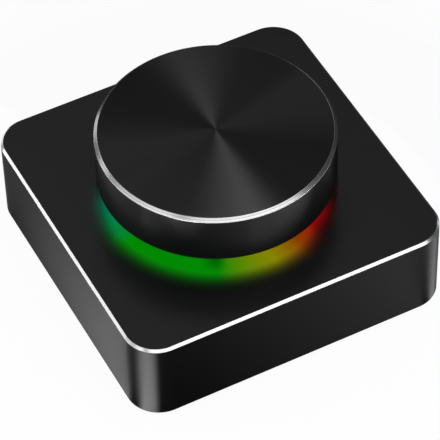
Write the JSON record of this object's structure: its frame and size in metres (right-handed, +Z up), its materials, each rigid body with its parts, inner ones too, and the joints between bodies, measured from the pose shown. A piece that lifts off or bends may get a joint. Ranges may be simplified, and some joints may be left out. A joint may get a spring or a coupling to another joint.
{
  "type": "usb volume control knob",
  "caption": "Square metal desk base with a large round dial that turns without end and clicks when pressed, over a ring of coloured light.",
  "frame": {"origin": "middle of the rubber pad's underside, on the surface that the object stands on", "axes": "+Z up along the dial's axis, +Y towards the side with the USB-C socket"},
  "size_m": [0.07, 0.07, 0.0356],
  "materials": {
    "black_anodised": "fine bead-blasted, black anodised, with bare cut edges",
    "spun_aluminium": "black anodised, lathe-turned rings on top, bare cut edge",
    "smoked_polycarbonate": "smoked, lets coloured light through",
    "board_laminate": "solder mask over glass laminate",
    "steel_screw": "zinc plated",
    "black_screw": "black oxide",
    "led_housing": "white moulded",
    "led_resin": "clear resin",
    "ceramic": "fired ceramic",
    "chip_epoxy": "moulded epoxy",
    "tinned_metal": "tinned",
    "usb_steel": "nickel plated",
    "black_nylon": "glass filled",
    "gold_contact": "gold plated",
    "ballast_steel": "zinc plated, as rolled",
    "cover_aluminium": "black anodised",
    "soft_rubber": "matt, fine grain",
    "plated_steel": "zinc plated",
    "die_cast_zinc": "die cast",
    "spring_steel": "bright spring steel",
    "white_nylon": "moulded",
    "black_acetal": "moulded"
  },
  "bodies": {
    "base": {"housing": "black_anodised", "light_guide": "smoked_polycarbonate", "circuit_board": "board_laminate", "board_screws": "steel_screw", "led_packages": "led_housing", "led_lenses": "led_resin", "chip_capacitors": "ceramic", "chip_resistors": "chip_epoxy", "crystal": "tinned_metal", "controller_chip": "chip_epoxy", "controller_leads": "tinned_metal", "usb_shell": "usb_steel", "usb_tongue": "black_nylon", "usb_contacts": "gold_contact", "ballast_plate": "ballast_steel", "bottom_cover": "cover_aluminium", "cover_screws": "black_screw", "rubber_pad": "soft_rubber", "encoder_base": "black_nylon", "encoder_frame": "plated_steel", "encoder_bushing": "die_cast_zinc", "encoder_washer": "plated_steel", "encoder_nut": "plated_steel", "detent_spring": "spring_steel", "encoder_wipers": "tinned_metal", "switch_contacts": "tinned_metal", "switch_dome": "spring_steel"},
    "rotor": {"encoder_rotor": "white_nylon", "code_ring": "tinned_metal"},
    "dial": {"encoder_shaft": "black_acetal", "knob_shell": "spun_aluminium", "knob_hub": "black_nylon", "hub_clip": "spring_steel"}
  },
  "joints": [
    {"name": "turn", "type": "hinge", "parent": "base", "child": "rotor", "pos_m": [0, 0, 0.015], "axis": [0, 0, 1], "continuous": true, "deforming": ["detent_spring"]},
    {"name": "press", "type": "slide", "parent": "rotor", "child": "dial", "axis": [0, 0, -1], "range_m": [0, 0.0005], "stiffness_N_per_m": 8000, "springref_m": -0.0003, "deforming": ["switch_dome"]}
  ]
}
